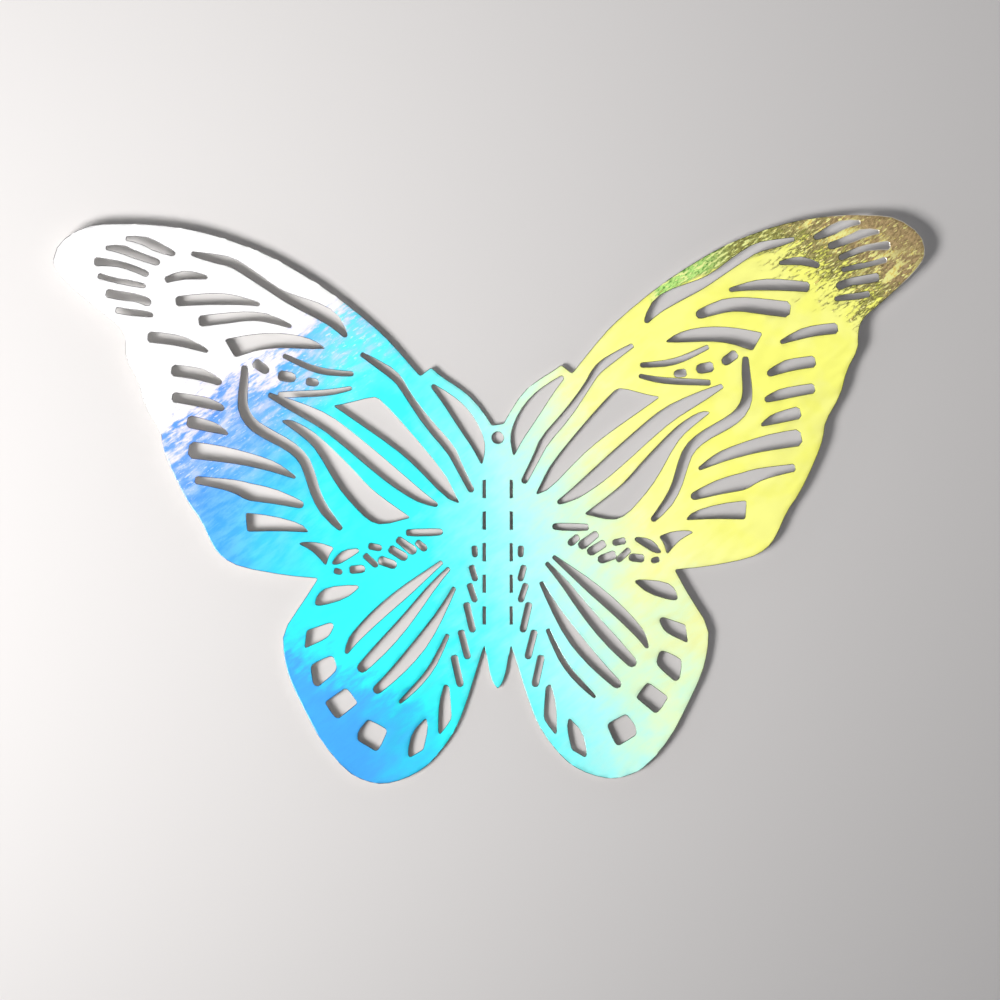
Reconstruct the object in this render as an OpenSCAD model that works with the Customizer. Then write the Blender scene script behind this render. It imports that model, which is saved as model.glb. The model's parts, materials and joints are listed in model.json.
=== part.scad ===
/* [Size] */
// Distance between the wing tips when the butterfly lies flat
wingspan = 120; // [90:1:180]

/* [Sheet] */
// Thickness of the white card
card_t = 0.3; // [0.2:0.01:0.4]
// Thickness of the foil film on the card's front
film_t = 0.02; // [0.01:0.01:0.06]

/* [Fold lines] */
// Distance between the two perforated fold lines, at a span of 120
fold_gap = 3.66; // [3.5:0.02:3.8]
// Number of perforations along each fold line
dash_count = 5; // [2:1:5]
// Distance from one perforation to the next, at a span of 120
dash_pitch = 4.36; // [4:0.02:4.6]
// Length of one perforation, at a span of 120
dash_len = 2.35; // [1.5:0.05:2.8]
// Width of one perforation, at a span of 120
dash_w = 0.4; // [0.3:0.05:0.5]
// Angle at which each wing stands up from the spine at rest
wing_lift = 1.5; // [0:0.5:30]

/* [Head and tail] */
// Diameter of the hanging hole in the head
hole_d = 1.6; // [1:0.1:1.8]
// Height of the hanging hole above the middle perforation, at a span of 120
hole_y = 15.8; // [15.5:0.1:16]

/* [Right wing] */
// How much higher the right forewing is drawn than the left one, at a span of 120
fore_rise = 1.2; // [0:0.1:1.4]
// How much higher the right hindwing is drawn than the left one, at a span of 120
hind_rise = 0.75; // [0:0.05:0.9]
// How much shorter the right wing is than the left one at its tip, at a span of 120
tip_loss = 2.3; // [0:0.1:3]

/* [Hidden] */

// The sheet lies in the plane z = 0 with its foil up. The origin is on the body's axis, level with
// the middle perforation. Wings are drawn once, with x measured outwards from the axis and y
// towards the head, in millimetres at this span:
drawn_span = 120;
size = wingspan / drawn_span;
sheet_t = card_t + film_t;

// Edges of each fold line: the spine ends at the first and the wing begins at the second
spine_x = size * (fold_gap - dash_w) / 2;
wing_x = size * (fold_gap + dash_w) / 2;

// Reach of the left wing
reach = 61.3;

// Shift of each part of the right wing's drawing from the left wing's: outwards, up, and the
// distance from the axis where the whole of the rise is reached. At 0 all of it rises alike
level = [0, 0, 0];
neck_shift = [0, fore_rise * 0.75, 3];
bump_shift = [-0.4, fore_rise * 0.3, 0];
waist_shift = [0, hind_rise, 16];
fore_shift = [0, fore_rise, 0];
inner_shift = [0, fore_rise, 30];
broad_shift = [-0.3, fore_rise * 0.75, 0];
leading_shift = [-0.25, fore_rise * 1.65, 0];
tip_shift = [0.3, fore_rise * 1.85, 0];
fork_shift = [-0.4, fore_rise * 1.4, 0];
outer_shift = [0.3, fore_rise * 1.4, 40];
hem_shift = [0.3, fore_rise * 1.4, 0];
hind_shift = [0, hind_rise, 0];
fleck_shift = [0, hind_rise * 2.1, 0];

// A bend sharper than this keeps its corner, with this radius or a little over
sharp_bend = 42;
corner = 0.35;

// Reach of the corners of a slot's blunt end, where a round end's would be 1
blunt_share = 1.12;

// ---------- points ----------

function unit(v) = v / norm(v);

// Angle by which a path turns between two steps
function bend(step_in, step_out) =
    acos(max(-1, min(1, unit(step_in) * unit(step_out))));

// Point at t on the curve that leaves a towards b and arrives at c
function curve(a, b, c, t) = (1 - t) * (1 - t) * a + 2 * t * (1 - t) * b + t * t * c;

// Closed outline through the drawn corners. Gentle bends are rounded right through, up to the
// middle of each side, and sharp ones only close to the corner
function softened(points) = [
    for (i = [0 : len(points) - 1])
        let (
            here = points[i],
            back = points[(i + len(points) - 1) % len(points)] - here,
            on = points[(i + 1) % len(points)] - here,
            sharp = bend(-back, on) > sharp_bend,
            from = here + unit(back) * min(norm(back) / 2, sharp ? corner : norm(back)),
            to = here + unit(on) * min(norm(on) / 2, sharp ? corner : norm(on))
        )
        each [for (t = sharp ? [0.1, 0.5, 0.9] : [0.25, 0.75]) curve(from, here, to, t)]
];

// Soft line through stations of [x, y, width]
function soft_line(stations) =
    let (last = len(stations) - 1)
    [
        stations[0],
        for (i = [1 : 1 : last - 1])
            let (
                from = i == 1 ? stations[0] : (stations[i - 1] + stations[i]) / 2,
                to = i == last - 1 ? stations[last] : (stations[i] + stations[i + 1]) / 2
            )
            each [for (t = [0.25, 0.75]) curve(from, stations[i], to, t)],
        stations[last]
    ];

function flat_part(station) = [station[0], station[1]];

// Direction of a line at its point i
function heading(line, i) =
    unit(flat_part(line[min(i + 1, len(line) - 1)]) - flat_part(line[max(i - 1, 0)]));

// Point beside point i of a line, at an angle from its heading, and half its width or a share of
// that away
function beside(line, i, angle, share = 1) =
    let (h = heading(line, i))
    flat_part(line[i]) + share * line[i][2] / 2
        * [h[0] * cos(angle) - h[1] * sin(angle), h[0] * sin(angle) + h[1] * cos(angle)];

// Outline of a slot along a line. The first end is blunt and the last one is round
function slot_outline(line) =
    let (last = len(line) - 1)
    [
        for (i = [0 : last]) beside(line, i, 90),
        for (angle = [45, 0, -45]) beside(line, last, angle),
        for (i = [last : -1 : 0]) beside(line, i, -90),
        for (angle = [-115, -150, 150, 115]) beside(line, 0, angle, blunt_share)
    ];

// Drawn points at the real size, shifted, and drawn in towards the body by a loss that grows with
// the square of the distance from it. A station's width only scales
function placed(points, shift, loss) = [
    for (p = points)
        size * [
            p[0] + shift[0] - loss * pow(p[0] / reach, 2),
            p[1] + shift[1] * (shift[2] > 0 ? min(1, p[0] / shift[2]) : 1),
            for (k = [2 : 1 : len(p) - 1]) p[k]
        ]
];

// ---------- the drawing of one wing ----------

// Edge of one half: from the head along the neck, over the bump of the shoulder, and round the
// forewing to the notch above the hindwing
neck_edge = [[0.85, 17.5], [1.05, 18], [3.3, 21.1], [5.6, 22.9], [7.8, 24.2]];
bump_edge = [[9.2, 25.5], [10.7, 24.3]];
fore_edge = [
    [14.7, 28.9], [17.1, 31.2], [22.7, 35.7], [28.5, 39.3], [32.5, 41.4], [37.1, 43.1],
    [41.6, 44.4], [47.2, 45.2], [53.5, 45.3], [57.1, 44.9], [60.6, 42.6], [61.3, 40], [60.3, 38.2],
    [58.3, 36.2], [54.2, 32.8], [51.7, 30.9], [51.2, 28.9], [51.4, 26.8], [49.5, 23.9],
    [48.8, 20.4], [46.3, 16.7], [46.3, 14.8], [45.1, 11.6], [42.6, 6.6], [40.9, 4.6],
    [39.3, 0.8], [37.9, -0.8], [35.6, -2.1], [28.8, -3.3], [24.8, -3.6]
];

// Edge of the hindwing from the notch to the slit beside the tail, and the tail's own edge
hind_edge = [
    [26.9, -6.9], [29.8, -11], [29.5, -14.2], [28.8, -17.4], [26.2, -22.6], [24.4, -26.1],
    [20.8, -30.4], [18.2, -31.6], [15.8, -32.1], [12.8, -31.3], [10.2, -29.9], [8.5, -28.2],
    [6.3, -25.4], [4.7, -22.1], [2.3, -14.2]
];
tail_edge = [[1.83, -12.9], [1.4, -14.9], [1.2, -16.3], [0.7, -18], [0, -18.9]];

// Leaf-shaped opening behind the shoulder, which ends on the fold line
shoulder_leaf = [
    [8.9, 23.2], [6.7, 21.9], [4.7, 20.4], [2.9, 18.1], [1.8, 15.5], [1.8, 13.8], [2.2, 12.1],
    [3.4, 14.4], [5.1, 16.8], [7.8, 21], [9.2, 22.8]
];

// Other openings of the forewing that are broad: the cell, the drop beside it and the slot
// nearest the hindwing
cell = [
    [22.6, 20.2], [21.1, 20.4], [17.1, 21.5], [16.2, 21.1], [12.4, 17], [7.3, 10.9], [6.2, 8.6],
    [5.3, 6.8], [7.1, 7.4], [11.3, 11.9], [14.2, 14.4], [20, 18.4]
];
drop = [
    [29.8, 18.1], [28.7, 18.3], [26.9, 17.5], [24.7, 16.1], [20.1, 11.6], [18, 9.2], [16.1, 7.6],
    [12.1, 4.8], [16, 3.7], [17.9, 4.4], [20.2, 6.8], [22.2, 9.2], [24.9, 14.1], [26.5, 15.7]
];
hem_slot = [[34.7, 5.4], [31, 5], [27, 3.9], [26.1, 2.8], [29.9, 3], [34.5, 2.9]];

// Forked vein below the cell, and its upper branch
fork_vein = [
    [31.3, 21.6, 0.6], [29.4, 20.7, 1.2], [27.4, 19.8, 1.6], [23.8, 18.1, 2.15],
    [20.5, 15.5, 2.2], [17.3, 12.8, 2.3], [14.3, 10.3, 2.2], [12.2, 8.7, 1.85], [10.2, 7.3, 1.4],
    [8.6, 6.6, 0.6]
];
fork_branch = [
    [29.9, 21.7, 0.7], [27.8, 21.8, 0.8], [24.5, 21.9, 0.8], [22, 22.2, 0.7], [20.4, 22.6, 0.5]
];

// Other long veins of the forewing
fore_veins = [
    // beside the shoulder leaf
    [[18.6, 27.2, 0.55], [15.4, 25.3, 1.3], [13.6, 23.8, 1.1], [12.5, 21.8, 0.8], [9.6, 17.7, 1.2],
     [6.3, 14.1, 1.3], [5.5, 12.1, 0.9], [3.7, 8.7, 0.8]],
    // short vein above the fork
    [[29.3, 27, 0.55], [27.6, 26.2, 0.7], [25.3, 25.2, 0.8], [22.9, 24.7, 0.8], [20.2, 24.6, 0.6]],
    // winding vein that closes the cells off from the margin
    [[34.9, 25.3, 0.8], [34.9, 23.9, 1.1], [35.2, 21.4, 1.2], [35.1, 19.5, 1.4], [33.9, 17.6, 1.5],
     [31.6, 16.2, 1.5], [28.8, 14.8, 1.4], [26.7, 13, 1.4], [25.8, 10.5, 1.4], [25, 7.7, 1.3],
     [23.5, 5.1, 1.3], [21.8, 3.4, 0.7]]
];

// Dots between the short vein and the fork
fore_dots = [
    [[33.1, 25.9, 1.2], [32.1, 25.2, 1.2]],
    [[29.6, 24.3, 1.3], [28.5, 24.1, 1.3]],
    [[25.9, 23.5, 1], [25.2, 23.4, 1]]
];

// Broad slot nearest the winding vein, which ends on a slant, and the rows of slots between it
// and the leading edge
leading_pane = [
    [37.6, 29.3], [34.5, 29.9], [31.4, 30.2], [28, 30], [25.3, 29.2], [23.8, 28.1], [26, 28.05],
    [29.9, 28.25], [33, 28], [36.2, 26.9]
];
leading_slots = [
    [[41.9, 41.1, 0.55], [39.4, 40.5, 1.2], [36.8, 40.1, 1.2], [34.2, 38.5, 1.3], [30.5, 35.9, 1],
     [28.5, 34.8, 1.4], [24, 33, 2.2], [22, 31.5, 1.7], [21.1, 30, 0.7]],
    [[45.4, 37.6, 0.8], [43.7, 38.25, 1.2], [41.6, 38.1, 0.9], [40.3, 37.9, 0.5]],
    [[43.7, 34.6, 1.3], [40.5, 34.9, 1.5], [37.5, 34.9, 1.5], [34.9, 34.6, 0.9], [33.1, 34.2, 0.5]]
];
last_leading_slot = [
    [40.5, 31.9, 1.4], [37.1, 32.3, 1.4], [34.2, 32.6, 1.1], [31.4, 32.3, 1.1], [28.7, 31.2, 0.5]
];

// How much broader the last leading slot is drawn on the right wing, all of it on its lower side
slot_gain = 0.7;

// Short slots near the tip
tip_slots = [
    [[50.9, 43.2, 0.55], [48.9, 43.1, 1.1], [46.9, 42, 1.5], [44.8, 41.2, 0.7]],
    [[53.7, 41.9, 0.5], [51.8, 41.9, 1.3], [49.9, 40.9, 1], [47, 40, 0.9]],
    [[55, 40, 1.1], [52.8, 39.9, 0.7], [50.3, 39.2, 0.8], [48.5, 38.4, 0.8]],
    [[54.7, 38, 0.7], [52.7, 37.4, 0.55], [50.6, 37.1, 0.8], [48.8, 36.7, 0.55]],
    [[53.4, 35.6, 1.1], [51.4, 35.2, 1.2], [49.7, 35.1, 0.9], [48.3, 34.5, 1.1]],
    [[52.2, 33.3, 0.8], [50.7, 33, 0.8], [48.9, 32.9, 0.8], [47.8, 32.7, 0.6]]
];

// Slots along the outer margin, from the tip down, and the two long ones that end them
margin_slots = [
    [[47.5, 29.6, 1.4], [45.1, 29.4, 1.4], [42.5, 28.8, 1.3], [40.2, 27.8, 0.5]],
    [[44.2, 25, 1.5], [42.5, 24.8, 1.5], [40.3, 24.4, 1.6], [38.5, 23.5, 0.9]],
    [[44.2, 21.3, 1.3], [41.5, 20.9, 1.4], [39.4, 20.4, 1.4], [38.1, 19.9, 0.8]],
    [[42, 17.9, 1.6], [39.8, 17.4, 1.5], [38.3, 16.9, 1.1], [37.4, 16.4, 0.4]]
];
long_margin_slots = [
    [[41.5, 14, 2.2], [39, 13.7, 2.2], [35.6, 13.1, 1.8], [31.7, 12.1, 1.5], [29.8, 11.3, 1.1],
     [28.1, 10.4, 0.4]],
    [[41.2, 9.9, 1], [38.2, 9.5, 1.3], [35.8, 9, 1.8], [34.3, 8.3, 2.3], [32.8, 8.1, 2.2],
     [29.9, 7.5, 1.8], [27.3, 6.6, 1]]
];

// Flecks where forewing and hindwing meet: the outer ones, two of them broad, and a cluster
// nearer the body
broad_flecks = [
    [[27.4, 1.2], [26.7, 1.4], [24.5, 1.3], [22.6, 0.6], [23.3, -0.3], [23.7, -1.8], [24.7, -0.6],
     [25.8, 0.4]],
    [[22.9, -1.6], [22.3, -0.6], [21.2, 0.3], [19.3, 0.5], [19.1, 0.1], [20.5, -0.8], [22, -1.7]]
];
outer_flecks = [
    [[22.2, -2.6, 0.7], [21.8, -2.7, 0.7]],
    [[19.9, -2.4, 1], [18.8, -2.3, 1]]
];
inner_flecks = [
    [[18.1, -0.6, 0.75], [16.9, -1.7, 0.75]],
    [[17.4, 0.8, 0.8], [16.4, 0.6, 0.8]],
    [[15.9, -1.2, 1.1], [14.5, -1.7, 1.1]],
    [[14.5, 0.3, 1], [13, -0.6, 1.1]],
    [[13.5, 1.6, 0.9], [11.8, 0.3, 1.2]],
    [[10.9, 1.2, 0.8], [10.2, 0.6, 0.9]],
    [[12.2, 2.7, 0.8], [10.1, 2.7, 1.15], [8, 2.8, 0.8]]
];

// Slots beside the body, which lie alike on both wings
body_slots = [
    [[3.2, 0.5, 0.7], [3.15, -0.3, 0.7]],
    [[3.55, -2.2, 0.75], [3.15, -3.6, 0.75]],
    [[3.8, -4.7, 0.75], [3.2, -6.5, 0.75]],
    [[4.25, -7.4, 0.85], [3.5, -10.6, 0.85]],
    [[5, -11.2, 0.85], [4.2, -14.3, 0.85]],
    [[5.95, -14.7, 0.9], [5.2, -18.1, 0.9]]
];
body_panes = [
    [[7.3, -18.2], [6.7, -18.6], [6.4, -22.4], [6.5, -23.2], [8, -25.1], [8.2, -24.7], [8.1, -20.6]],
    [[9.9, -22.9], [9.6, -24.2], [10.3, -27.2], [12.2, -28.3], [12.4, -27.5], [11.8, -24.7]]
];

// Long slots of the hindwing, which fan out from the body
hind_rays = [
    [[7.9, -1.5, 0.5], [9.9, -3.1, 0.9], [12.8, -5.4, 1.6], [16.5, -8.5, 1.7], [19.1, -11.1, 1.45],
     [20.3, -12.5, 1.2], [20.8, -13.7, 0.5]],
    [[6.9, -2.4, 0.5], [9, -4.6, 0.95], [11.3, -7.7, 1.35], [13.9, -10.9, 1.7],
     [16.8, -14, 1.75], [18.7, -15.9, 1.3]],
    [[6.1, -5.1, 0.5], [7.5, -7.9, 0.9], [10.2, -12.1, 1.85], [12.7, -15.1, 1.8], [15.1, -17.6, 1.4],
     [16.6, -18.9, 1.15]],
    [[7, -11.6, 0.5], [8.4, -14.8, 0.75], [10, -17.2, 0.75], [12, -19.3, 0.7], [13.4, -20.6, 0.4]]
];

// Panes along the edge of the hindwing, from the notch down
hind_panes = [
    [[25.2, -7.2], [24.9, -5.9], [23.6, -4.8], [19.6, -4.5], [19.1, -4.8], [20.9, -6.4], [24.5, -7.4]],
    [[26.6, -13.2], [26.3, -10.8], [23, -9.7], [22.6, -10.1], [23.1, -11.2], [23.7, -11.9]],
    [[25.8, -15.9], [25.5, -15.4], [23.4, -14.4], [22.7, -14.4], [22.2, -15.7], [22.4, -16.5],
     [24.8, -18.5], [25.4, -18.2]],
    [[23.8, -20.7], [21.1, -18.8], [20.6, -19], [19.4, -20.7], [19.6, -21], [22, -22.9],
     [22.6, -22.6]],
    [[19.3, -24.7], [17.9, -23.1], [15.6, -24.2], [15.3, -24.7], [16.3, -27], [16.8, -27.4],
     [19.3, -25.9]]
];

// ---------- flat shapes ----------

// Stations widened on their lower side only
function broadened(stations, gain) = [for (s = stations) [s[0], s[1] - gain / 2, s[2] + gain]];

module slots(group, shift, loss) {
    for (stations = group) polygon(slot_outline(soft_line(placed(stations, shift, loss))));
}

module panes(group, shift, loss) {
    for (points = group) polygon(softened(placed(points, shift, loss)));
}

// Everything cut out of a wing. On the right wing each part of the drawing has its own shift
module wing_cuts(is_right) {
    loss = is_right ? tip_loss : 0;
    fore = is_right ? fore_shift : level;
    leading = is_right ? leading_shift : level;
    tip = is_right ? tip_shift : level;
    fork = is_right ? fork_shift : level;
    hind = is_right ? hind_shift : level;
    fleck = is_right ? fleck_shift : level;
    panes([shoulder_leaf, cell], fore, loss);
    panes([drop], is_right ? inner_shift : level, loss);
    panes([hem_slot], is_right ? hem_shift : level, loss);
    slots(fore_veins, fore, loss);
    slots([fork_vein], is_right ? inner_shift : level, loss);
    slots([fork_branch], fork, loss);
    slots(fore_dots, fore, loss);
    panes([leading_pane], is_right ? broad_shift : level, loss);
    slots(leading_slots, leading, loss);
    slots([broadened(last_leading_slot, is_right ? slot_gain : 0)], leading, loss);
    slots(tip_slots, tip, loss);
    slots(margin_slots, fore, loss);
    slots(long_margin_slots, is_right ? outer_shift : level, loss);
    panes(broad_flecks, fleck, loss);
    slots(outer_flecks, fleck, loss);
    slots(inner_flecks, hind, loss);
    slots(hind_rays, hind, loss);
    panes(hind_panes, hind, loss);
    slots(body_slots, level, loss);
    panes(body_panes, level, loss);
}

// Edge of one half. The right wing's rise fades towards the neck and the waist
function half_edge(is_right) =
    let (loss = is_right ? tip_loss : 0)
    concat(
        placed(neck_edge, is_right ? neck_shift : level, loss),
        placed(bump_edge, is_right ? bump_shift : level, loss),
        placed(fore_edge, is_right ? fore_shift : level, loss),
        placed(hind_edge, is_right ? waist_shift : level, loss),
        placed(tail_edge, level, 0)
    );

// The whole sheet before anything is cut out of it. The tail's tip is shared by the two halves
module sheet_outline() {
    right = half_edge(true);
    left = [for (p = half_edge(false)) [-p[0], p[1]]];
    polygon(softened(concat(right, [for (i = [len(left) - 2 : -1 : 0]) left[i]])));
}

// The part of the sheet between two distances from the axis
module sheet_between(x_from, x_to) {
    intersection() {
        sheet_outline();
        translate([x_from, -wingspan]) square([x_to - x_from, 2 * wingspan]);
    }
}

module right_plan() {
    difference() {
        sheet_between(wing_x, wingspan);
        wing_cuts(true);
    }
}

module left_plan() {
    difference() {
        sheet_between(-wingspan, -wing_x);
        mirror([1, 0]) wing_cuts(false);
    }
}

// The spine, with the head at one end and the tail at the other
module spine_plan() {
    difference() {
        sheet_between(-spine_x, spine_x);
        translate([0, size * hole_y]) circle(d = hole_d, $fn = 48);
    }
}

// Perforations of one fold line, and the tip of the shoulder leaf where it reaches the line
module fold_cuts(is_right) {
    for (i = [0 : dash_count - 1])
        translate([spine_x, size * (dash_pitch * (i - (dash_count - 1) / 2) - dash_len / 2)])
            square([wing_x - spine_x, size * dash_len]);
    panes([shoulder_leaf], is_right ? fore_shift : level, 0);
}

module right_webs_plan() {
    difference() {
        sheet_between(spine_x, wing_x);
        fold_cuts(true);
    }
}

module left_webs_plan() {
    difference() {
        sheet_between(-wing_x, -spine_x);
        mirror([1, 0]) fold_cuts(false);
    }
}

// ---------- solids ----------

module card() {
    color("ghostwhite") linear_extrude(card_t) children();
}

module foil(tint) {
    color(tint) translate([0, 0, card_t]) linear_extrude(film_t) children();
}

// Stands a wing up about the foil side of its fold line. Side is 1 on the right and -1 on the left
module lifted(side) {
    translate([side * wing_x, 0, sheet_t])
        rotate([0, -side * wing_lift, 0])
            translate([-side * wing_x, 0, -sheet_t]) children();
}

module spine_card() {
    card() spine_plan();
}

// The film covers the spine and the webs beside it in one piece
module spine_foil() {
    foil("paleturquoise") difference() {
        sheet_between(-wing_x, wing_x);
        translate([0, size * hole_y]) circle(d = hole_d, $fn = 48);
        fold_cuts(true);
        mirror([1, 0]) fold_cuts(false);
    }
}

module left_fold_webs() {
    card() left_webs_plan();
}

module right_fold_webs() {
    card() right_webs_plan();
}

module left_wing_card() {
    lifted(-1) card() left_plan();
}

module left_wing_foil() {
    lifted(-1) foil("deepskyblue") left_plan();
}

module right_wing_card() {
    lifted(1) card() right_plan();
}

module right_wing_foil() {
    lifted(1) foil("khaki") right_plan();
}

spine_card();
spine_foil();
left_fold_webs();
right_fold_webs();
left_wing_card();
left_wing_foil();
right_wing_card();
right_wing_foil();
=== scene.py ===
import json
import math

import bpy
import numpy as np
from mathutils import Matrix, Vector, geometry


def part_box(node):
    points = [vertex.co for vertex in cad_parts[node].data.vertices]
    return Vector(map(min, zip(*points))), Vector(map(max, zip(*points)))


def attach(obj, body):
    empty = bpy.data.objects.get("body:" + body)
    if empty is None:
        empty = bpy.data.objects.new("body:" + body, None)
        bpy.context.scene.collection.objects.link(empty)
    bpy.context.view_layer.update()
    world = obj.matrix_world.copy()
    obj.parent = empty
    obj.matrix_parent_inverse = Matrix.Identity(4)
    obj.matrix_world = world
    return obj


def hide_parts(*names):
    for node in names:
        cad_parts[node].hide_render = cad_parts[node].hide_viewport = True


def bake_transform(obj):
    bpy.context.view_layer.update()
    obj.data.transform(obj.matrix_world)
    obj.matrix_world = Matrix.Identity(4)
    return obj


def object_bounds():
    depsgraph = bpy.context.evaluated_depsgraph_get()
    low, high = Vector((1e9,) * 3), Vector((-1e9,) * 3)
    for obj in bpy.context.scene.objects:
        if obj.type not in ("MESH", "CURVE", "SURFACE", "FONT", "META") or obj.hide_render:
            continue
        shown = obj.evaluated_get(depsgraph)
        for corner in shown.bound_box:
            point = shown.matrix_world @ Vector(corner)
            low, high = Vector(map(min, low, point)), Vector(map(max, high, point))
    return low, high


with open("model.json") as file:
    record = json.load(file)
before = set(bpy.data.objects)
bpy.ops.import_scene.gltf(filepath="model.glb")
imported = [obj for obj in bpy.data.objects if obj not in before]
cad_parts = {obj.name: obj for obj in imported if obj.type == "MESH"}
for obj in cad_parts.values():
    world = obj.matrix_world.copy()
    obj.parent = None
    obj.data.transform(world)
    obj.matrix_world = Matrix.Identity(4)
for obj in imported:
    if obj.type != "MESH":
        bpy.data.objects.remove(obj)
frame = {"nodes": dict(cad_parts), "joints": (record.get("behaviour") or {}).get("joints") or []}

cad_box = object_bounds()

# ---------- sizes, in millimetres on the flat sheet ----------

MM = 0.001
JOINTS = {j["name"]: j for j in frame["joints"]}
RIGHT_FOLD = JOINTS["right_wing_fold"]
FOLD_X = RIGHT_FOLD["pos_m"][0] / MM  # where each wing begins
SHEET_T = RIGHT_FOLD["pos_m"][2] / MM  # thickness of card and film
LIFT = math.radians(-RIGHT_FOLD["range_deg"][0])  # how far the wings stand up at rest
SPINE_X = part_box("spine_card")[1].x / MM  # where the spine ends
CARD_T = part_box("spine_card")[1].z / MM  # thickness of the card
HALF_SPAN = -cad_box[0].x / MM

SPACING = 0.75  # of the points inside a sheet
CLEAR = 0.32  # of those points from a cut edge
WEB_CLEAR = 0.03  # of the points in the fold lines' bridges from a cut edge
WEB_COLUMNS = 5  # rows of points across each fold line
WELD = 1e-3  # grid that points are rounded to, so that equal ones meet
FACE_DEPTH = 0.005  # how far below its highest point a front face may reach
BATCH = 1000  # points that are compared with all the lines at a time
SHARP_BEND = math.radians(60)  # between faces, and beyond it their edge stays sharp

TIP_CURL = 0.3  # rise of a wing at its tip
LEADING_CURL = 0.1  # added along the leading edge, at the tip
LEADING_Y = 45  # height on the sheet at which that is reached

# Profiles of the cut edge, from the top down, as (distance in from the cut, height)
FILM_EDGE = [(0.1, SHEET_T), (0.055, SHEET_T - 0.006), (0.02, SHEET_T - 0.02),
             (0.0, SHEET_T - 0.045)]
CARD_EDGE = [(0.07, CARD_T - 0.008), (0.004, CARD_T - 0.026), (0.0, 0.05), (0.015, 0.015),
             (0.05, 0.0)]


# ---------- the flat drawing, from the CAD nodes ----------

def turned(points, side, share):
    """Points turned up about one fold line by a share of the lift that a wing has at rest."""
    angle = np.asarray(share) * LIFT
    out = side * points[:, 0] - FOLD_X
    up = points[:, 2] - SHEET_T
    moved = points.copy()
    moved[:, 0] = side * (FOLD_X + out * np.cos(angle) - up * np.sin(angle))
    moved[:, 2] = SHEET_T + out * np.sin(angle) + up * np.cos(angle)
    return moved


def cut_lines(node, side=0):
    """The edges of a node's front face on the flat sheet, as an array of pairs of points."""
    mesh = frame["nodes"][node].data
    places = np.empty(len(mesh.vertices) * 3)
    mesh.vertices.foreach_get("co", places)
    places = places.reshape(-1, 3) / MM
    if side:
        places = turned(places, side, -1.0)
    mesh.calc_loop_triangles()
    faces = np.empty(len(mesh.loop_triangles) * 3, int)
    mesh.loop_triangles.foreach_get("vertices", faces)
    faces = faces.reshape(-1, 3)
    welded, index = np.unique(np.round(places / WELD).astype(int), axis=0, return_inverse=True)
    faces = index.reshape(-1)[faces]
    height = welded[:, 2] * WELD
    faces = faces[(height[faces] > height.max() - FACE_DEPTH).all(axis=1)]
    edges = np.sort(np.vstack([faces[:, [0, 1]], faces[:, [1, 2]], faces[:, [2, 0]]]), axis=1)
    edges, uses = np.unique(edges, axis=0, return_counts=True)
    edges = edges[(uses == 1) & (edges[:, 0] != edges[:, 1])]
    return welded[edges][:, :, :2] * WELD


def inside(points, lines):
    """Which points lie within closed lines, by the crossings to their right."""
    a, b = lines[:, 0], lines[:, 1]
    rise = b[:, 1] - a[:, 1]
    level = rise == 0
    slope = (b[:, 0] - a[:, 0]) / np.where(level, 1.0, rise)
    found = np.zeros(len(points), bool)
    for start in range(0, len(points), BATCH):
        p = points[start:start + BATCH]
        spans = (a[:, 1] > p[:, 1:2]) != (b[:, 1] > p[:, 1:2])
        crossing = a[:, 0] + (p[:, 1:2] - a[:, 1]) * slope
        found[start:start + BATCH] = (spans & (crossing > p[:, :1])).sum(axis=1) % 2 == 1
    return found


def distance(points, lines):
    """Distance of each point from the nearest line."""
    a, along = lines[:, 0], lines[:, 1] - lines[:, 0]
    square = (along ** 2).sum(axis=1)
    nearest = np.empty(len(points))
    for start in range(0, len(points), BATCH):
        p = points[start:start + BATCH, None]
        t = np.clip(((p - a) * along).sum(axis=2) / square, 0, 1)
        away = p - a - t[:, :, None] * along
        nearest[start:start + BATCH] = np.sqrt((away ** 2).sum(axis=2).min(axis=1))
    return nearest


def filling(lines):
    """Staggered points inside the sheet, clear of its edges."""
    low, high = lines.min(axis=(0, 1)), lines.max(axis=(0, 1))
    rows = np.arange(low[1], high[1], SPACING * math.sqrt(3) / 2)
    points = np.array([
        (x + (SPACING / 2 if row % 2 else 0), y)
        for row, y in enumerate(rows)
        for x in np.arange(low[0], high[0], SPACING)
    ])
    points = points[inside(points, lines)]
    return points[distance(points, lines) > CLEAR]


def web_points(side, lines):
    """Points in close rows across the bridges of one fold line, where the sheet bends."""
    columns = np.linspace(SPINE_X, FOLD_X, WEB_COLUMNS + 2)[1:-1]
    rows = np.arange(lines[:, :, 1].min(), lines[:, :, 1].max(), SPACING / 2)
    points = np.array([(side * x, y) for x in columns for y in rows])
    points = points[inside(points, lines)]
    return points[distance(points, lines) > WEB_CLEAR]


def triangulated(lines, extra):
    """Points and triangles that fill closed lines."""
    pieces = []
    for a, b in lines:
        parts = max(1, math.ceil(np.linalg.norm(b - a) / SPACING))
        steps = [a + (b - a) * k / parts for k in range(parts + 1)]
        pieces += zip(steps[:-1], steps[1:])
    ends = np.array(pieces)
    corners, index = np.unique(np.round(ends.reshape(-1, 2) / WELD).astype(int), axis=0,
                               return_inverse=True)
    edges = index.reshape(-1, 2)
    edges = edges[edges[:, 0] != edges[:, 1]]
    points = [Vector(p) for p in (corners * WELD).tolist() + extra.tolist()]
    made = geometry.delaunay_2d_cdt(points, edges.tolist(), [], 0, WELD / 10)
    flat = np.array([tuple(v) for v in made[0]])
    faces = np.array([f for f in made[2] if len(f) == 3])
    faces = faces[inside(flat[faces].mean(axis=1), lines)]
    kept, faces = np.unique(faces, return_inverse=True)
    return flat[kept], faces.reshape(-1, 3)


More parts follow.
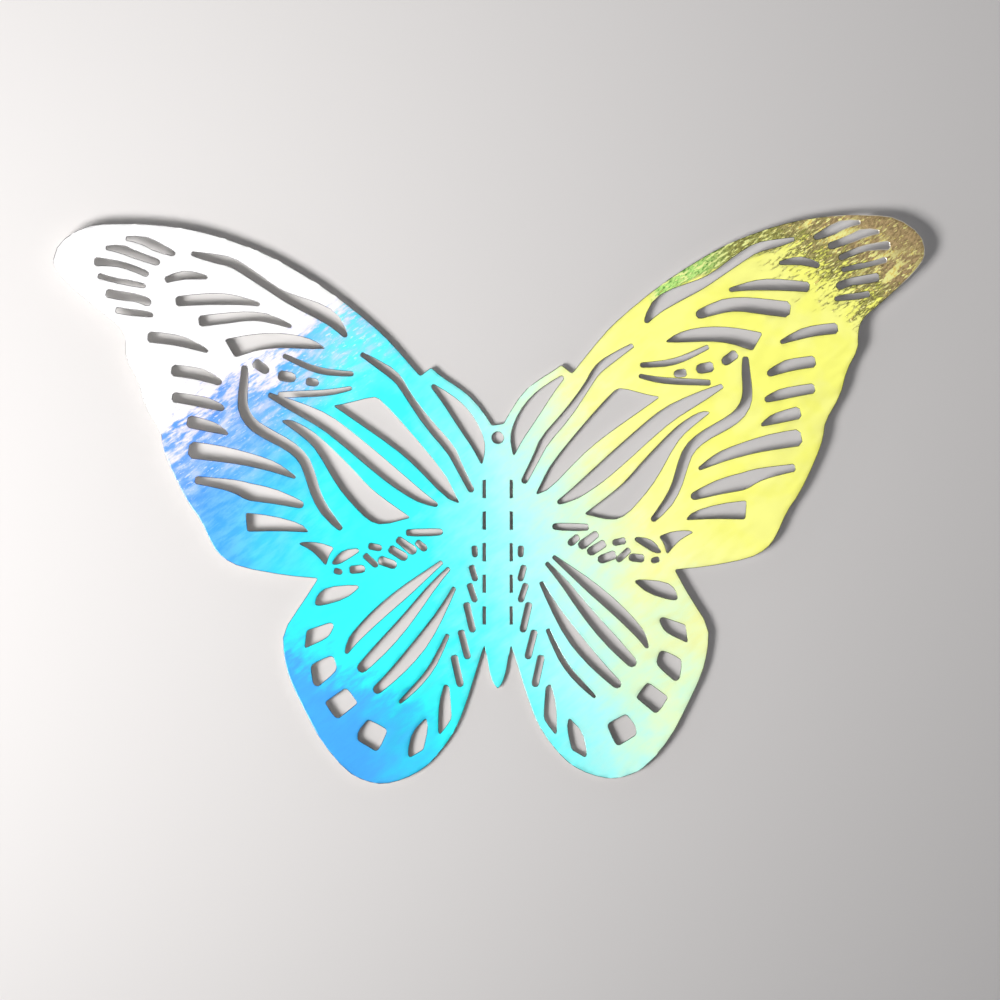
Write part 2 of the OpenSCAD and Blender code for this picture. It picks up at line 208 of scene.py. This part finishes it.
def rim(flat, faces):
    """The directed cut edges of a triangulated sheet, and each point's way in from the cut.
    Where two pieces meet at the spine the way in runs along the seam, so that they stay closed."""
    directed = np.vstack([faces[:, [0, 1]], faces[:, [1, 2]], faces[:, [2, 0]]])
    known = {tuple(e) for e in directed.tolist()}
    edges = np.array([e for e in known if (e[1], e[0]) not in known])
    edges = edges[np.lexsort((edges[:, 1], edges[:, 0]))]
    along = flat[edges[:, 1]] - flat[edges[:, 0]]
    normal = np.column_stack([-along[:, 1], along[:, 0]])
    normal /= np.linalg.norm(normal, axis=1)[:, None]
    on_seam = np.abs(np.abs(flat[:, 0]) - SPINE_X) < 2 * WELD
    seam = on_seam[edges].all(axis=1)
    way = np.zeros_like(flat)
    for end in (0, 1):
        np.add.at(way, edges[~seam, end], normal[~seam])
    length = np.linalg.norm(way, axis=1)
    used = length > 1e-6
    # a corner moves in by more than a straight edge does, up to half as much again
    way[used] /= length[used, None] * np.maximum(length[used, None] / 2, 2 / 3)
    way[on_seam, 0] = 0
    return edges, way


# ---------- the shape that the sheet has taken ----------

def waves(flat):
    """Height of the card's slight cockling, which dies away towards the fold lines."""
    x, y = flat[:, 0], flat[:, 1]
    away = np.clip((np.abs(x) - FOLD_X) / 12, 0, 1) ** 2
    return away * (0.07 * np.sin(x / 6.3 + y / 8.9 + 0.6) + 0.05 * np.sin(x / 4.1 - y / 5.2 + 2.1)
                   + 0.04 * np.sin(y / 3.7 + x / 11 + 1.3))


def curl(flat):
    """How far the wings curve up towards their tips and along their leading edges."""
    out = np.clip((np.abs(flat[:, 0]) - FOLD_X) / (HALF_SPAN - FOLD_X), 0, 1)
    leading = np.clip(flat[:, 1] / LEADING_Y, -0.3, 1)
    return TIP_CURL * out ** 2 + LEADING_CURL * out * leading


def formed(flat, height, side):
    """Points of the flat sheet at their place at rest, in metres."""
    places = np.column_stack([flat, height + waves(flat) + curl(flat)])
    if side:
        t = np.clip((np.abs(flat[:, 0]) - SPINE_X) / (FOLD_X - SPINE_X), 0, 1)
        places = turned(places, side, t * t * (3 - 2 * t))
    return places * MM


def stacked(plan, profile, top):
    """Points of a layer on the flat sheet, level by level down its profile, with their heights
    and their shares of the way round the rim. The first and last levels are whole faces."""
    flat, _, edges, way = plan
    around = np.unique(edges)
    deepest, brow = profile[0]
    level = np.full(len(flat), top)
    level[around] = brow
    spots = [flat + way * deepest]
    heights = [level]
    rims = [np.zeros(len(flat))]
    for inset, height in profile[1:-1]:
        spots.append(flat[around] + way[around] * inset)
        heights.append(np.full(len(around), height))
        rims.append(np.full(len(around), 1 - inset / deepest))
    inset, height = profile[-1]
    spots.append(flat + way * inset)
    heights.append(np.full(len(flat), height))
    rims.append(np.ones(len(flat)))
    return np.vstack(spots), np.concatenate(heights), np.concatenate(rims)


def polygons(plan, levels):
    """Faces of a layer whose points are stacked in levels: its top, its underside and its rim."""
    flat, faces, edges, _ = plan
    around = np.unique(edges)
    under = len(flat) + (levels - 2) * len(around)
    rings = [around]
    for k in range(levels - 2):
        rings.append(len(flat) + k * len(around) + np.arange(len(around)))
    rings.append(under + around)
    made = faces.tolist() + (faces[:, ::-1] + under).tolist()
    first, second = np.searchsorted(around, edges).T
    for upper, lower in zip(rings[:-1], rings[1:]):
        walls = np.column_stack([lower[first], lower[second], upper[second], upper[first]])
        made += walls.tolist()
    return made


def layer(name, plan, profile, side, top, material):
    """One closed layer of the sheet, with its cut edge rounded to a profile. Its top face lies at
    the profile's first height round its rim and at top inside it, and its underside at the last.
    The mesh keeps each point's place on the flat sheet and its share of the rim, for materials."""
    drawn, heights, rims = stacked(plan, profile, top)
    mesh = bpy.data.meshes.new(name)
    mesh.from_pydata(formed(drawn, heights, side).tolist(), [], polygons(plan, len(profile)))
    mesh.validate()
    mesh.polygons.foreach_set("use_smooth", [True] * len(mesh.polygons))
    mesh.set_sharp_from_angle(angle=SHARP_BEND)
    sheet = mesh.attributes.new("sheet", "FLOAT_VECTOR", "POINT")
    where = np.column_stack([drawn, np.zeros(len(drawn))])
    sheet.data.foreach_set("vector", where.astype(np.float32).ravel())
    rim_share = mesh.attributes.new("rim", "FLOAT", "POINT")
    rim_share.data.foreach_set("value", rims.astype(np.float32))
    mesh.materials.append(material)
    piece = bpy.data.objects.new(name, mesh)
    bpy.context.scene.collection.objects.link(piece)
    return piece


# ---------- materials ----------

def colour(red, green, blue):
    """A display colour from 0 to 255 as the linear one that a shader takes."""
    parts = [c / 255 for c in (red, green, blue)]
    return [c / 12.92 if c <= 0.04045 else ((c + 0.055) / 1.055) ** 2.4 for c in parts] + [1.0]


class Graph:
    """A material's nodes, made one short call at a time."""

    def __init__(self, name):
        self.material = bpy.data.materials.new(name)
        self.material.use_nodes = True
        self.nodes = self.material.node_tree.nodes
        self.links = self.material.node_tree.links
        self.shader = self.nodes["Principled BSDF"]

    def put(self, value, socket):
        """Feeds a socket from another socket, or sets it to a plain value."""
        if isinstance(value, bpy.types.NodeSocket):
            self.links.new(value, socket)
        else:
            socket.default_value = value

    def place(self):
        """Where a point lies on the flat sheet, in millimetres."""
        node = self.nodes.new("ShaderNodeAttribute")
        node.attribute_name = "sheet"
        return node.outputs["Vector"]

    def rim(self):
        """0 on the open face, rising to 1 over the rounded cut edge."""
        node = self.nodes.new("ShaderNodeAttribute")
        node.attribute_name = "rim"
        return node.outputs["Fac"]

    def split(self, vector):
        node = self.nodes.new("ShaderNodeSeparateXYZ")
        self.put(vector, node.inputs[0])
        return node.outputs[0], node.outputs[1]

    def math(self, operation, a, b=0.0):
        node = self.nodes.new("ShaderNodeMath")
        node.operation = operation
        self.put(a, node.inputs[0])
        self.put(b, node.inputs[1])
        return node.outputs[0]

    def total(self, *terms):
        """Sum of terms, each a socket or number with its share."""
        result = 0.0
        for value, share in terms:
            result = self.math("ADD", result, self.math("MULTIPLY", value, share))
        return result

    def step(self, value, low, high, to_low=0.0, to_high=1.0):
        """Goes smoothly from to_low to to_high as a value goes from low to high."""
        node = self.nodes.new("ShaderNodeMapRange")
        node.interpolation_type = "SMOOTHSTEP"
        for socket, v in zip(node.inputs, (value, low, high, to_low, to_high)):
            self.put(v, socket)
        return node.outputs[0]

    def mix(self, share, a, b):
        """Colour a where the share is 0, and b where it's 1."""
        node = self.nodes.new("ShaderNodeMix")
        node.data_type = "RGBA"
        self.put(share, node.inputs[0])
        self.put(a, node.inputs[6])
        self.put(b, node.inputs[7])
        return node.outputs[2]

    def streaked(self, vector, angle, length):
        """Coordinates in which a pattern is drawn out along an angle, in degrees."""
        node = self.nodes.new("ShaderNodeMapping")
        node.vector_type = "TEXTURE"
        self.put(vector, node.inputs[0])
        node.inputs["Rotation"].default_value = (0, 0, math.radians(angle))
        node.inputs["Scale"].default_value = (length, 1, 1)
        return node.outputs[0]

    def noise(self, vector, size, detail=3.0, roughness=0.55):
        """A soft pattern, from 0 to 1, whose patches are about size millimetres across."""
        node = self.nodes.new("ShaderNodeTexNoise")
        self.put(vector, node.inputs["Vector"])
        node.inputs["Scale"].default_value = 1 / size
        node.inputs["Detail"].default_value = detail
        node.inputs["Roughness"].default_value = roughness
        return node.outputs[0]

    def ramp(self, value, stops):
        """Colour by a value. Stops are (value, colour), from the lowest value to the highest."""
        low, high = stops[0][0], stops[-1][0]
        node = self.nodes.new("ShaderNodeValToRGB")
        elements = node.color_ramp.elements
        while len(elements) < len(stops):
            elements.new(0.5)
        for element, (at, tint) in zip(elements, stops):
            element.position = (at - low) / (high - low)
            element.color = tint
        share = self.math("DIVIDE", self.math("SUBTRACT", value, low), high - low)
        self.put(share, node.inputs[0])
        return node.outputs[0]

    def bump(self, height, depth):
        """Relief of a height from 0 to 1, depth millimetres deep."""
        node = self.nodes.new("ShaderNodeBump")
        node.inputs["Strength"].default_value = 1.0
        node.inputs["Distance"].default_value = depth * MM
        self.put(height, node.inputs["Height"])
        self.put(node.outputs[0], self.shader.inputs["Normal"])


def swing(noise, reach):
    """Terms of a total for a noise of 0 to 1, moved to centre on 0 and made reach wide."""
    return (noise, reach), (-0.5, reach)


# The film's colours by distance across the sheet, in millimetres. The rainbow is the foil's own,
# but where each hue lies is painted light: the diffraction colours that this light and view gave,
# fixed on the sheet
SPECTRUM = [
    (-46, colour(56, 146, 244)), (-37, colour(62, 174, 248)), (-30, colour(46, 214, 252)),
    (-22, colour(40, 250, 255)), (-10, colour(56, 248, 252)), (-2, colour(136, 255, 254)),
    (4, colour(174, 255, 250)), (9, colour(198, 255, 234)), (16, colour(232, 255, 202)),
    (23, colour(254, 255, 156)), (34, colour(255, 255, 124)), (46, colour(255, 255, 120)),
]

# The right wing's leading edge where it's crazed is close to a parabola. It starts at this point
# with this slope, and falls away from that line by the bend times the distance squared.
CRAZED_EDGE_X = 21.4
CRAZED_EDGE_Y = 37.0
CRAZED_EDGE_SLOPE = 0.62
CRAZED_EDGE_BEND = 0.0103


def hue(g, x, y, clouds, brushed):
    """Place in the spectrum. It follows x, leans with y, and turns bluer on the left hindwing's
    foot and greener on the edge of the right hindwing."""
    lean = g.total((1.0, 0.4), (g.step(x, 2, -8), -0.25), (g.step(x, -18, -30), -0.4))
    low = g.total((y, 1.0), (x, 0.3), *swing(brushed, 14.0))
    foot = g.math("MULTIPLY", g.step(low, -19, -27), g.step(x, -2, -10))
    hind_edge = g.math("MULTIPLY", g.step(x, 20, 27), g.step(y, 4, -2))
    return g.total((x, 1.0), (g.math("MULTIPLY", y, lean), 1.0), (foot, -15.0), (hind_edge, -5.0),
                   *swing(clouds, 9.0), *swing(brushed, 12.0))


def mottled(g, tint, x, y, clouds, brushed):
    """Paler clouds in the yellow of the right wing, and paler strokes in the left forewing."""
    cloudy = g.math("MULTIPLY", g.step(x, 12, 26), g.step(clouds, 0.42, 0.6, 0.0, 0.3))
    tint = g.mix(cloudy, tint, colour(255, 255, 172))
    forewing = g.math("MULTIPLY", g.step(x, -14, -34), g.step(y, -8, 4))
    stroked = g.math("MULTIPLY", forewing, g.step(brushed, 0.4, 0.62, 0.0, 0.3))
    return g.mix(stroked, tint, colour(150, 214, 250))


def with_painted_glare(g, tint, to_glare, brushed, flecks):
    """Painted highlight on the left tip: the film turning white as glare, first pale and lilac
    streaks, then scattered flecks, then white.
    """
    lilac = g.math("MULTIPLY", g.step(to_glare, -15, -3), g.step(brushed, 0.3, 0.6, 0.15, 0.55))
    tint = g.mix(lilac, tint, colour(168, 192, 251))
    streaks = g.math("MULTIPLY", g.step(to_glare, -12, -1), g.step(brushed, 0.48, 0.66, 0.0, 0.8))
    tint = g.mix(streaks, tint, colour(226, 226, 255))
    scattered = g.math("MULTIPLY", g.step(to_glare, -13, -3), g.step(flecks, 0.57, 0.66, 0.0, 0.75))
    tint = g.mix(scattered, tint, colour(232, 238, 255))
    edge = g.total((to_glare, 1.0), *swing(brushed, 14.0), *swing(flecks, 8.0))
    tint = g.mix(g.step(edge, -2.5, 1.0), tint, colour(238, 232, 255))
    return g.mix(g.step(edge, -0.5, 2.5), tint, colour(255, 255, 255))


def gilded(g, tint, to_gold, brushed, flecks, grain):
    """The film turning to old gold through olive flecks, with bright flecks in it: paler patches
    and painted glints.
    Returns the colour and where it has turned."""
    edge = g.total((to_gold, 1.0), *swing(brushed, 16.0), *swing(flecks, 22.0))
    turned_gold = g.step(edge, -1.0, 1.5)
    olive = g.mix(g.step(grain, 0.38, 0.64), colour(112, 108, 58), colour(182, 176, 104))
    tan = g.mix(g.step(grain, 0.36, 0.64), colour(134, 114, 74), colour(190, 162, 112))
    old = g.mix(g.step(g.total((to_gold, 1.0), *swing(brushed, 8.0)), 0, 6), olive, tan)
    patches = g.math("MULTIPLY", g.step(brushed, 0.49, 0.54), g.step(to_gold, 11, 6, 0.0, 0.95))
    patches = g.math("MULTIPLY", patches, g.step(to_gold, 1.5, 4))
    # glints: painted glints, where the crazed film catches the light
    glints = g.math("MULTIPLY", g.step(flecks, 0.58, 0.61), g.step(to_gold, 15, 3, 0.5, 1.0))
    bright = g.mix(g.step(grain, 0.4, 0.5), colour(246, 212, 104), colour(255, 255, 160))
    old = g.mix(g.math("MAXIMUM", patches, glints), old, bright)
    return g.mix(turned_gold, tint, old), turned_gold


def greened(g, tint, x, y, brushed, flecks, grain):
    """Green and olive crazing between the right wing's leading edge and its first slot. Returns
    the colour and where the crazing is."""
    out = g.math("SUBTRACT", x, CRAZED_EDGE_X)
    above = g.total((y, 1.0), (-CRAZED_EDGE_Y, 1.0), (out, -CRAZED_EDGE_SLOPE),
                    (g.math("MULTIPLY", out, out), CRAZED_EDGE_BEND),
                    *swing(brushed, 3.5), *swing(flecks, 3.5))
    crazing = g.math("MULTIPLY", g.step(x, 20.5, 22), g.step(above, -2.9, -2.2))
    green = g.mix(g.step(grain, 0.36, 0.56), colour(100, 158, 68), colour(196, 246, 134))
    olive = g.mix(g.step(grain, 0.42, 0.6), colour(122, 120, 58), colour(172, 170, 84))
    crazed = g.mix(g.step(x, 27, 33), green, olive)
    crazed = g.mix(g.step(flecks, 0.51, 0.59), crazed, colour(246, 255, 160))
    return g.mix(crazing, tint, crazed), crazing


def foil(name):
    """Rainbow film. Its colours run across the whole butterfly, partly its own rainbow and partly
    painted light:
    each hue lies where the foil's diffraction put it under this light, with painted white glare at
    the left tip and old gold at the right one. It is finely crazed where they change."""
    g = Graph(name)
    sheet = g.place()
    x, y = g.split(sheet)
    clouds = g.noise(sheet, 7.0)
    brushed = g.noise(g.streaked(sheet, 38, 3.2), 1.3, 5.0, 0.62)
    flecks = g.noise(g.streaked(sheet, 33, 3.4), 0.36, 3.0, 0.6)
    grain = g.noise(g.streaked(sheet, 50, 2.2), 0.3, 4.0, 0.7)

    # distance into the white tip on the left, a painted highlight of glare, and into the gold tip
    # on the right
    to_glare = g.total((x, -0.6), (y, 0.8), (-40.0, 1.0), *swing(clouds, 14.0))
    to_gold = g.total((x, 0.64), (y, 0.75), (-57.6, 1.0), *swing(clouds, 7.0))

    # painted iridescence: the rainbow's hues fixed on the sheet where this light showed them
    tint = g.ramp(hue(g, x, y, clouds, brushed), SPECTRUM)
    tint = mottled(g, tint, x, y, clouds, brushed)
    # painted highlight: the left tip turns white as glare
    tint = with_painted_glare(g, tint, to_glare, brushed, flecks)
    tint, crazing = greened(g, tint, x, y, brushed, flecks, grain)
    tint, turned_gold = gilded(g, tint, to_gold, brushed, flecks, grain)
    # painted shade and highlight on the cut edge: it is painted dark, and greener where the film is
    # yellow, but it's pale round the gold tip as a painted highlight of its lit edge
    cut = g.mix(g.step(x, -6, 14), colour(58, 56, 60), colour(44, 66, 34))
    cut = g.mix(g.step(to_gold, 4, 7), cut, colour(255, 246, 220))
    tint = g.mix(g.step(g.rim(), 0.0, g.step(to_gold, 4, 7, 0.7, 0.25), 0.0, 0.9), tint, cut)
    g.put(tint, g.shader.inputs["Base Color"])

    crazed = g.math("MAXIMUM", g.math("MAXIMUM", turned_gold, crazing), g.step(to_glare, -10, -2))
    relief = g.total((brushed, 0.4), (g.math("MULTIPLY", flecks, crazed), 1.0),
                     (g.math("MULTIPLY", grain, crazed), 0.5))
    g.bump(relief, 0.03)
    g.put(g.step(brushed, 0.3, 0.7, 0.19, 0.26), g.shader.inputs["Roughness"])
    g.shader.inputs["Metallic"].default_value = 0.5
    g.shader.inputs["Coat Weight"].default_value = 0.15
    g.shader.inputs["Coat Roughness"].default_value = 0.12
    return g.material


def card(name):
    """White card with a fine fibrous surface."""
    g = Graph(name)
    sheet = g.place()
    fibres = g.noise(g.streaked(sheet, 20, 4.0), 0.16, 4.0, 0.65)
    mottle = g.noise(sheet, 3.0)
    tone = g.total((fibres, 0.7), (mottle, 0.3))
    tint = g.mix(g.step(tone, 0.35, 0.65), colour(232, 231, 228), colour(249, 248, 246))
    g.put(tint, g.shader.inputs["Base Color"])
    g.put(g.step(fibres, 0.3, 0.7, 0.82, 0.95), g.shader.inputs["Roughness"])
    g.bump(tone, 0.03)
    g.shader.inputs["Specular IOR Level"].default_value = 0.3
    return g.material


def floor_material():
    """Plain pale paper."""
    g = Graph("pale_floor")
    g.put(colour(211, 209, 208), g.shader.inputs["Base Color"])
    g.shader.inputs["Roughness"].default_value = 0.95
    g.shader.inputs["Specular IOR Level"].default_value = 0.1
    return g.material


# ---------- pieces ----------

def planned(lines, extra):
    """What both layers of a piece share: its points, triangles, cut edges and ways in."""
    flat, faces = triangulated(lines, extra)
    return (flat, faces, *rim(flat, faces))


def wing(side):
    """A wing with the bridges of its fold line, which bend from the spine to the wing."""
    word = "right" if side > 0 else "left"
    wing_lines = cut_lines(f"{word}_wing_foil", side)
    web_lines = cut_lines(f"{word}_fold_webs")
    lines = np.vstack([wing_lines, web_lines])
    plan = planned(lines, np.vstack([filling(wing_lines), web_points(side, web_lines)]))
    card_piece = layer(f"{word}_wing_card_sheet", plan, CARD_EDGE, side, CARD_T, paper)
    film_piece = layer(f"{word}_wing_foil_film", plan, FILM_EDGE, side, SHEET_T, film)
    for piece in (card_piece, film_piece):
        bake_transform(piece)
    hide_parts(f"{word}_wing_card", f"{word}_fold_webs")
    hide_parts(f"{word}_wing_foil")


def spine():
    """The strip between the fold lines, from the head with its hole to the tail."""
    lines = cut_lines("spine_card")
    plan = planned(lines, filling(lines))
    card_piece = layer("spine_card_sheet", plan, CARD_EDGE, 0, CARD_T, paper)
    film_piece = layer("spine_foil_film", plan, FILM_EDGE, 0, SHEET_T, film)
    for piece in (card_piece, film_piece):
        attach(piece, "spine")
    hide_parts("spine_card")
    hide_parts("spine_foil")


# ---------- floor, light and camera ----------

FRAME_W = 0.138  # width of the view on the sheet
CAMERA_HEIGHT = 0.8
SENSOR_W = 36.0
VIEW_CENTRE = Vector((0.0003, 0.0072, 0))
FLOOR_DROP = 0.0005  # gap between the floor and the back of the spine
FLOOR_SIZE = 4
HORIZON_GLOW = 1.0
OVERHEAD_GLOW = 0.03
GLOW_TOP = 0.75  # sine of the angle above the horizon at which the walls' glow has faded


def lamp(name, where, towards, size, power, tint, spread=180):
    """A square softbox. A spread under 180 degrees makes its light fall off to the sides."""
    data = bpy.data.lights.new(name, "AREA")
    data.size = size
    data.energy = power
    data.color = tint
    data.spread = math.radians(spread)
    light = bpy.data.objects.new(name, data)
    light.location = where
    light.rotation_euler = (Vector(towards) - Vector(where)).to_track_quat("-Z", "Y").to_euler()
    bpy.context.scene.collection.objects.link(light)


def studio_glow(tree):
    """Pale walls that are brightest low down, so that the film has something to reflect from the
    side while little of it falls into the openings."""
    direction = tree.nodes.new("ShaderNodeTexCoord").outputs["Generated"]
    split = tree.nodes.new("ShaderNodeSeparateXYZ")
    glow = tree.nodes.new("ShaderNodeMapRange")
    glow.interpolation_type = "SMOOTHSTEP"
    for socket, value in zip(glow.inputs[1:5], (0.0, GLOW_TOP, HORIZON_GLOW, OVERHEAD_GLOW)):
        socket.default_value = value
    background = tree.nodes["Background"]
    background.inputs["Color"].default_value = (0.95, 0.96, 1.0, 1)
    tree.links.new(direction, split.inputs[0])
    tree.links.new(split.outputs["Z"], glow.inputs[0])
    tree.links.new(glow.outputs[0], background.inputs["Strength"])


def surroundings():
    """A pale floor, a key light from the left, a softbox overhead and the glow of the walls."""
    bpy.ops.mesh.primitive_plane_add(size=FLOOR_SIZE, location=(0, 0, -FLOOR_DROP))
    floor = bpy.context.object
    floor.name = "floor"
    floor.data.materials.append(floor_material())
    lamp("key", where=(-0.23, -0.1, 0.3), towards=(-0.09, 0.05, 0), size=0.15, power=0.45,
         tint=(1.0, 0.985, 0.975), spread=80)
    lamp("overhead", where=(-0.03, 0.02, 1.1), towards=(0, 0, 0), size=0.42, power=0.7,
         tint=(1.0, 1.0, 1.0))
    world = bpy.data.worlds.new("studio")
    bpy.context.scene.world = world
    world.use_nodes = True
    studio_glow(world.node_tree)
    bpy.context.scene.view_settings.view_transform = "Standard"


def camera():
    """Looks straight down on the sheet."""
    data = bpy.data.cameras.new("camera")
    data.sensor_width = SENSOR_W
    data.lens = SENSOR_W * CAMERA_HEIGHT / FRAME_W
    data.clip_start, data.clip_end = 0.01, 10
    view = bpy.data.objects.new("camera", data)
    view.location = VIEW_CENTRE + Vector((0, 0, CAMERA_HEIGHT))
    bpy.context.scene.collection.objects.link(view)
    bpy.context.scene.camera = view


camera()
surroundings()
film = foil("rainbow_film")
paper = card("white_card")
spine()
wing(1)
wing(-1)
